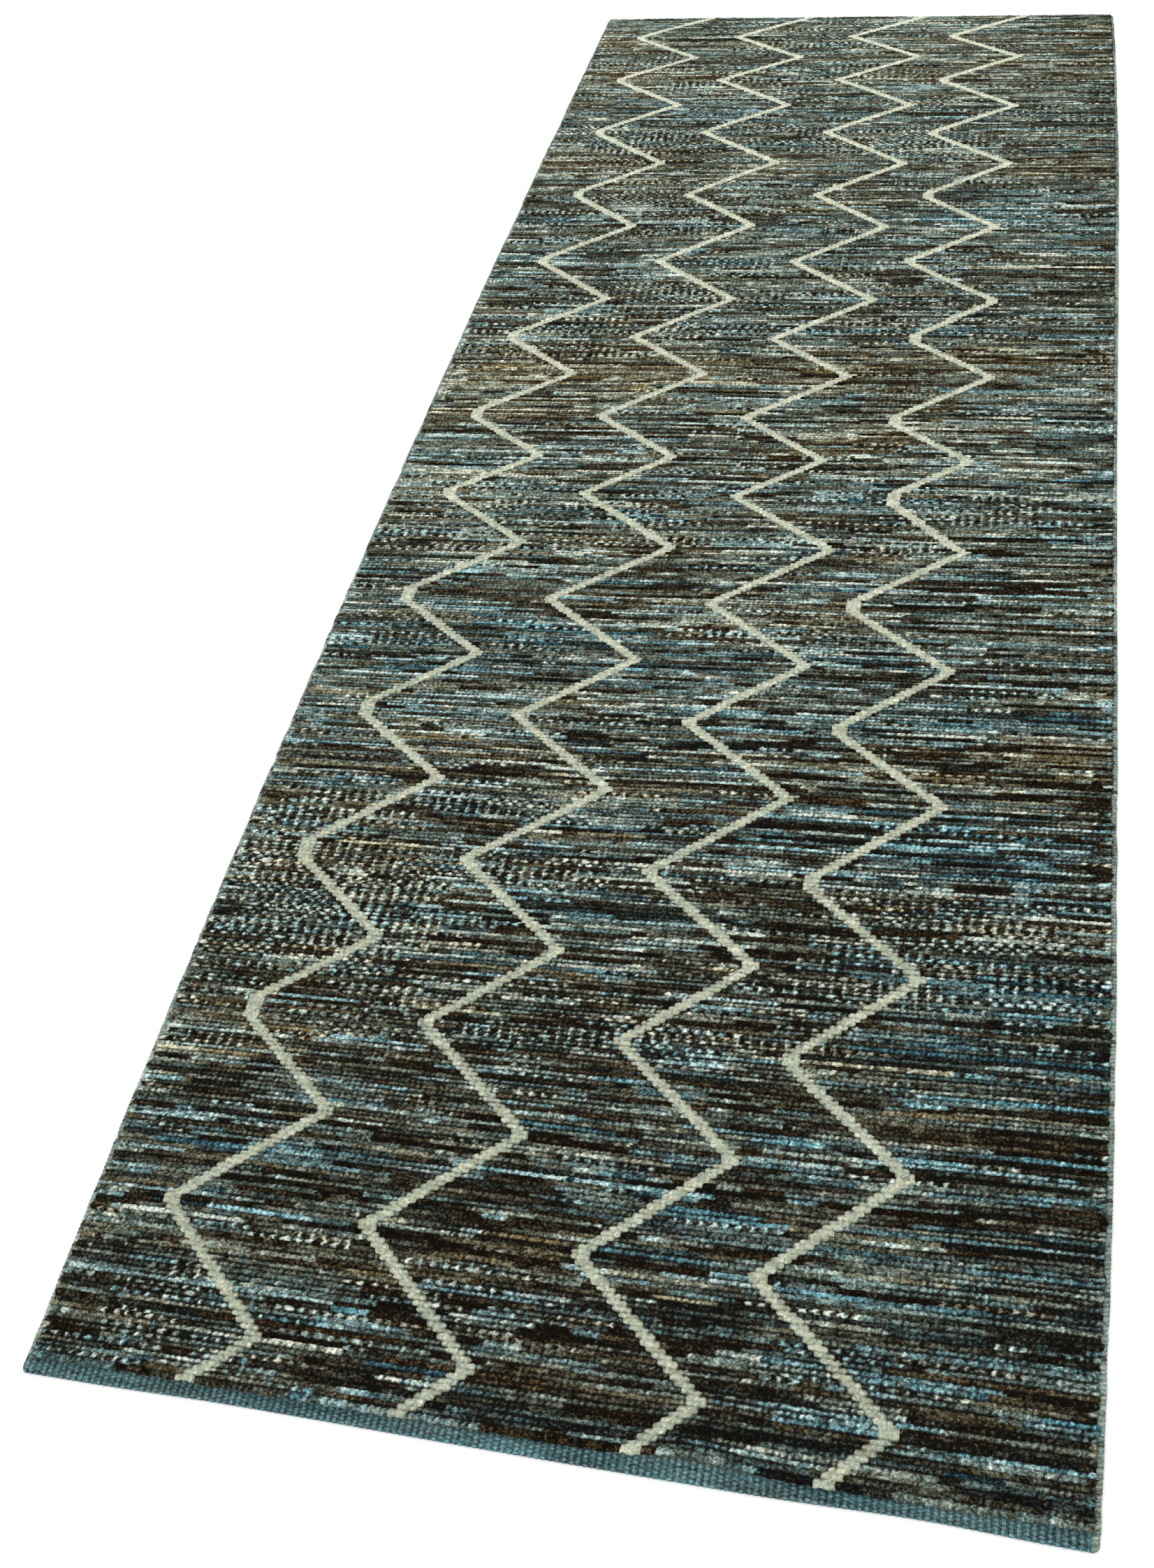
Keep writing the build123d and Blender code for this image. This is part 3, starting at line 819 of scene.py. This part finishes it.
def tube(points, radius, sides):
    """Points and faces of a closed tube that follows a path."""
    points = np.asarray(points, float)
    ahead = np.gradient(points, axis=0)
    ahead /= np.linalg.norm(ahead, axis=1, keepdims=True)
    up = np.array([0.02, 0.03, 1.0])
    sideways = np.cross(ahead, up)
    sideways /= np.linalg.norm(sideways, axis=1, keepdims=True)
    upward = np.cross(sideways, ahead)
    turn = 2 * np.pi * np.arange(sides) / sides
    radius = np.broadcast_to(radius, len(points))[:, None, None]
    turn = turn[None, :, None]
    ring = np.cos(turn) * sideways[:, None] + np.sin(turn) * upward[:, None]
    skin = points[:, None] + radius * ring
    grid = np.arange(len(points) * sides).reshape(-1, sides)
    beside = np.roll(grid, -1, axis=1)
    quads = np.stack([grid[:-1], beside[:-1], beside[1:], grid[1:]], 2).reshape(-1, 4)
    return skin.reshape(-1, 3), [*quads[:, ::-1], grid[0], grid[-1][::-1]]


def joined_tubes(name, paths, radius, sides):
    """Many tubes as one piece."""
    points, faces, total = [], [], 0
    for path in paths:
        own_points, own_faces = tube(path, radius, sides)
        points.append(own_points)
        faces += [np.asarray(face) + total for face in own_faces]
        total += len(own_points)
    return wool_mesh(name, np.concatenate(points), faces)


thread_wool = wool_material("whipping_thread", fleck=0.12, fibre=2200, stretch=(1, 1, 1), bump=0.6)
stitch_rng = np.random.default_rng(61)
for name, inner, way, node in (
    ("near_hem_stitches", PILE_NEAR + TURN_UNDER, 1, "hem_stitching_near"),
    ("far_hem_stitches", PILE_FAR - TURN_UNDER, -1, "hem_stitching_far"),
):
    low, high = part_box(node)
    stitches = []
    for place in np.arange(low[0] + STITCH_PITCH / 2, high[0] - STITCH_PITCH / 2, STITCH_PITCH):
        slant = (1.6 + 0.5 * stitch_rng.random()) * MM
        reach = STITCH_REACH * (0.85 + 0.3 * stitch_rng.random())
        start = place + 0.5 * MM * stitch_rng.standard_normal()
        arc = np.linspace(0, np.pi, 7)
        bow = np.cos(arc)
        stitches.append(np.stack([
            start + slant * (1 - bow) / 2,
            inner + way * (THREAD / 2 - reach * 0.5 * bow),
            HEM_THICKNESS - (HEM_THICKNESS - THREAD_RADIUS - 0.03 * MM) * np.sin(arc) ** 0.5,
        ], 1))
    piece = joined_tubes(name, stitches, THREAD_RADIUS, ROUND_SIDES)
    faces = len(piece.data.polygons)
    give_values(piece, "tone", THREAD_TONE + 0.04 * stitch_rng.standard_normal(faces))
    give_values(piece, "dye", np.full(faces, THREAD_DYE))
    piece.data.materials.append(thread_wool)
    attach(piece, "root")
    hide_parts(node)


# ---------------------------------------------------------------------------------------------------
# Selvedge cores. Along each side the last four warps are laid together as a cord, twisted loosely,
# for the wrapping yarn to bind.
CORE_STRANDS = 4
STRAND_RADIUS = 0.5 * MM
STRAND_OUT = 0.8 * MM
CORE_TWIST = 38 * MM
CORE_STEP = 7 * MM
CORE_HEIGHT = 2.5 * MM
WARP_TONE, WARP_DYE = 0.72, -0.3

for side, way, (places, edge), start in (
    ("left", -1, LEFT_EDGE, PILE_NEAR), ("right", 1, RIGHT_EDGE, NEAR),
):
    along = np.arange(start + 6 * MM, FAR - 5 * MM, CORE_STEP)
    middle = np.interp(along, places, edge) - way * SELVEDGE_WIDTH / 2
    strands = []
    for strand in range(CORE_STRANDS):
        turn = 2 * np.pi * (along / CORE_TWIST + strand / CORE_STRANDS)
        strands.append(np.stack([middle + STRAND_OUT * np.cos(turn), along,
                                 CORE_HEIGHT + STRAND_OUT * np.sin(turn)], 1))
    piece = joined_tubes(f"side_warps_{side}", strands, STRAND_RADIUS, ROUND_SIDES)
    faces = len(piece.data.polygons)
    give_values(piece, "tone", np.full(faces, WARP_TONE))
    give_values(piece, "dye", np.full(faces, WARP_DYE))
    piece.data.materials.append(thread_wool)
    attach(piece, "root")
    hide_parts(f"selvedge_core_{side}")


# ---------------------------------------------------------------------------------------------------
# Selvedge wrapping. Grey yarn of mixed shades is wound round each core, turn against turn, slanting
# on the left and nearly square on the right. It closes over the core at each end.
WRAP_PITCH = 3.9 * MM
WRAP_RIDGE = 0.35 * MM
WRAP_HALF_HEIGHT = 2.45 * MM
BOXINESS = 0.85
AROUND = 14
RINGS_PER_TURN = 3
END_ROUND = 5 * MM
DARK_YARN_SHARE, DARK_YARN_TONE = 0.10, 0.36


def wrapped_side(name, way, places, edge, start, end, slant, rng):
    """One side's winding, as rings round the core: the first of each turn's is sunk between ridges."""
    turns = int(round((end - start) / WRAP_PITCH))
    rings = RINGS_PER_TURN * turns + 1
    along = np.linspace(start, end, rings)
    uneven = 0.35 * MM * slow_noise(rng, 1, rings, 1, 4)[0]
    ridge = np.where(np.arange(rings) % RINGS_PER_TURN == 0, -1.0, 0.45)
    thick = 1 + 0.035 * slow_noise(rng, 1, rings, 1, 9)[0]
    angle = 2 * np.pi * np.arange(AROUND) / AROUND
    points = np.zeros((rings, AROUND, 3))
    to_end = np.clip(np.minimum(along - start, end - along) / END_ROUND, 0, 1)
    rounded = np.sqrt(np.clip(1 - (1 - to_end) ** 2, 0.02, 1))
    fade = np.clip(to_end * 1.5, 0, 1)
    middle = np.interp(along, places, edge) - way * SELVEDGE_WIDTH / 2
    for index in range(rings):
        wide = (SELVEDGE_WIDTH / 2 + 0.15 * MM + WRAP_RIDGE * ridge[index]) * thick[index]
        tall = (WRAP_HALF_HEIGHT + WRAP_RIDGE * ridge[index]) * thick[index]
        out = np.sign(np.cos(angle)) * np.abs(np.cos(angle)) ** BOXINESS
        up = np.sign(np.sin(angle)) * np.abs(np.sin(angle)) ** BOXINESS
        size = rounded[index]
        inner_side = -way * SELVEDGE_WIDTH / 2 * (1 - size)
        points[index, :, 0] = middle[index] + inner_side + wide * size * out
        drift = slant * out * fade[index] * (up > -0.4)
        points[index, :, 1] = along[index] + uneven[index] * fade[index] + drift
        points[index, :, 2] = np.maximum(CORE_HEIGHT + tall * up, 0.05 * MM)
    grid = np.arange(rings * AROUND).reshape(rings, AROUND)
    beside = np.roll(grid, -1, axis=1)
    quads = np.stack([grid[:-1], grid[1:], beside[1:], beside[:-1]], 2).reshape(-1, 4)
    piece = wool_mesh(name, points.reshape(-1, 3), [*quads, grid[0], grid[-1][::-1]])
    return piece, rings - 1, turns


wrap_wool = wool_material("wrapping_wool", fleck=0.45, fibre=900, stretch=(0.6, 1.6, 1), bump=0.6)
wrap_rng = np.random.default_rng(71)
for side, way, (places, edge), start, slant, wool_tone in (
    ("left", -1, LEFT_EDGE, PILE_NEAR - 1 * MM, 1.9 * MM, 0.68),
    ("right", 1, RIGHT_EDGE, NEAR, 0.5 * MM, 0.61),
):
    piece, rings, turns = wrapped_side(
        f"side_winding_{side}", way, places, edge, start, FAR, slant, wrap_rng)
    mixed = wool_tone + 0.05 * wrap_rng.standard_normal(turns)
    mixed = mixed + 0.05 * slow_noise(wrap_rng, 1, turns, 1, 14)[0]
    dark_yarn = wrap_rng.random(turns) < DARK_YARN_SHARE
    mixed[dark_yarn] = wrap_rng.normal(DARK_YARN_TONE, 0.05, dark_yarn.sum())
    hue = 0.02 + 0.05 * slow_noise(wrap_rng, 1, turns, 1, 5)[0]
    turn_of = np.minimum(np.arange(rings) // RINGS_PER_TURN, turns - 1)
    # Painted shade: the wound yarn is painted darker on the sunk ring between turns and on the ring
    # beside it, and a little lighter on each turn's crown.
    painted_relief_shade = np.where(np.arange(rings) % RINGS_PER_TURN == 1, 0.02, -0.09)
    ring_tone = mixed[turn_of] + painted_relief_shade
    give_values(piece, "tone", np.concatenate([np.repeat(ring_tone, AROUND), [0.5, 0.5]]).clip(0, 1))
    give_values(piece, "dye", np.concatenate([np.repeat(hue[turn_of], AROUND), [0, 0]]).clip(-1, 1))
    piece.data.materials.append(wrap_wool)
    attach(piece, "root")
    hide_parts(f"selvedge_wrapping_{side}")


# ---------------------------------------------------------------------------------------------------
# Floor, light and camera: a plain white studio floor, one broad soft light, and a view down the rug
# from its near end.
FLOOR_SIZE = 600

floor_mesh = bpy.data.meshes.new("studio_floor")
reach = FLOOR_SIZE / 2
floor_mesh.from_pydata([(-reach, -reach, 0), (reach, -reach, 0), (reach, reach, 0), (-reach, reach, 0)],
                       [], [(0, 1, 2, 3)])
floor = bpy.data.objects.new("studio_floor", floor_mesh)
bpy.context.collection.objects.link(floor)
floor.location.z = -0.2 * MM
floor_paint = bpy.data.materials.new("floor_paint")
floor_paint.use_nodes = True
floor_surface = floor_paint.node_tree.nodes["Principled BSDF"]
floor_surface.inputs["Base Color"].default_value = (0.86, 0.86, 0.86, 1)
floor_surface.inputs["Roughness"].default_value = 0.9
floor_surface.inputs["Specular IOR Level"].default_value = 0.1
floor_mesh.materials.append(floor_paint)

sky = bpy.data.worlds.new("studio_sky")
sky.use_nodes = True
sky.node_tree.nodes["Background"].inputs["Color"].default_value = (1.0, 1.0, 1.0, 1)
sky.node_tree.nodes["Background"].inputs["Strength"].default_value = 1.0
bpy.context.scene.world = sky

lamp_data = bpy.data.lights.new("soft_lamp", "SUN")
lamp_data.energy = 1.55
lamp_data.angle = 0.5
lamp = bpy.data.objects.new("soft_lamp", lamp_data)
lamp.rotation_euler = (0.62, -0.42, 0.35)
bpy.context.collection.objects.link(lamp)

camera_data = bpy.data.cameras.new("camera")
camera_data.sensor_fit = "VERTICAL"
camera_data.sensor_height = 36
camera_data.lens = 40.45
camera = bpy.data.objects.new("camera", camera_data)
bpy.context.collection.objects.link(camera)
camera.matrix_world = Matrix((
    (0.9739, -0.08247, 0.21149, 0.2735),
    (0.20374, 0.72836, -0.6542, -1.6752),
    (-0.10009, 0.68021, 0.72615, 1.2807),
    (0, 0, 0, 1),
))
bpy.context.scene.camera = camera
bpy.context.scene.view_settings.view_transform = "Standard"
